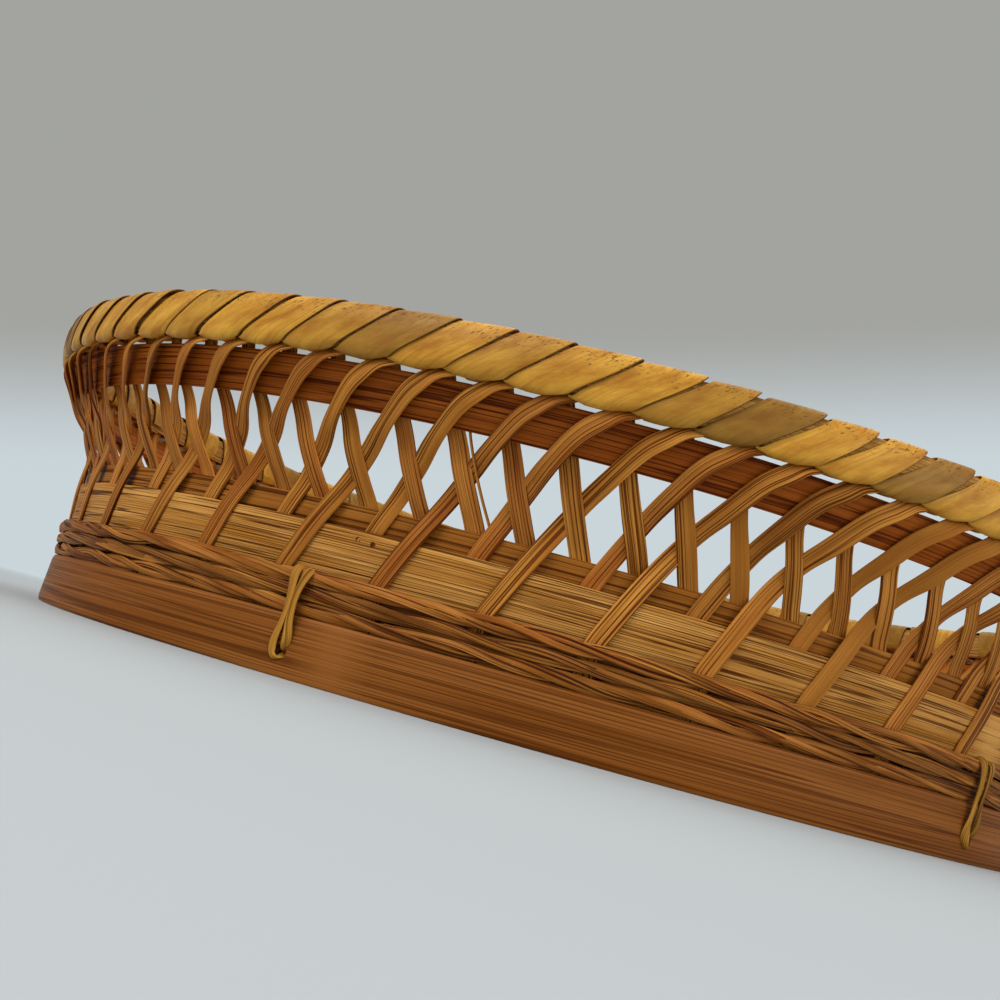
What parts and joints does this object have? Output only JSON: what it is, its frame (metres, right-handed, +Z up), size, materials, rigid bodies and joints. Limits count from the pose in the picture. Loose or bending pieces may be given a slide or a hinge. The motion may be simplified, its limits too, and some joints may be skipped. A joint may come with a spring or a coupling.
{
  "type": "woven bamboo tray",
  "caption": "Low round basket tray: split bamboo strands cross between hoops on a plain foot band, under a rim bound with rattan peel; it holds fruit, bread or small things.",
  "frame": {"origin": "middle of the foot, on the surface that the tray stands on", "axes": "+Z up along the tray's round axis, from the foot to the rim"},
  "size_m": [0.2928, 0.2928, 0.0665],
  "materials": {
    "foot": "satin red-brown bamboo with fine grain",
    "hoop": "satin brown bamboo",
    "wale": "satin brown twisted splints",
    "wide_band": "satin tan bamboo with dark stripes",
    "narrow_band": "satin brown bamboo",
    "upper_band": "satin dark brown bamboo",
    "splint": "satin bamboo with dark lengthwise lines",
    "tie": "satin yellow cane",
    "rim_core": "matte grey-brown cane",
    "rim_wrap": "glossy golden rattan peel",
    "floor": "satin plaited bamboo",
    "brace": "satin bamboo"
  },
  "bodies": {
    "root": {"foot_band": "foot", "foot_inner_hoop": "hoop", "base_hoop": "hoop", "wale_row_1": "wale", "wale_row_2": "wale", "wale_row_3": "wale", "wide_band": "wide_band", "narrow_band": "narrow_band", "upper_band": "upper_band", "outer_splint_1": "splint", "outer_splint_2": "splint", "outer_splint_3": "splint", "outer_splint_4": "splint", "outer_splint_5": "splint", "outer_splint_6": "splint", "middle_splint_1": "splint", "middle_splint_2": "splint", "middle_splint_3": "splint", "middle_splint_4": "splint", "middle_splint_5": "splint", "middle_splint_6": "splint", "inner_splint_1": "splint", "inner_splint_2": "splint", "inner_splint_3": "splint", "inner_splint_4": "splint", "inner_splint_5": "splint", "inner_splint_6": "splint", "inner_splint_7": "splint", "inner_splint_8": "splint", "inner_splint_9": "splint", "inner_splint_10": "splint", "inner_splint_11": "splint", "inner_splint_12": "splint", "tie_1": "tie", "tie_2": "tie", "tie_3": "tie", "tie_4": "tie", "tie_5": "tie", "tie_6": "tie", "rim_outer_hoop": "rim_core", "rim_inner_hoop": "rim_core", "rim_wrap_1": "rim_wrap", "rim_wrap_2": "rim_wrap", "rim_wrap_3": "rim_wrap", "rim_wrap_4": "rim_wrap", "base_mat": "floor", "base_brace_1": "brace", "base_brace_2": "brace"}
  },
  "joints": []
}
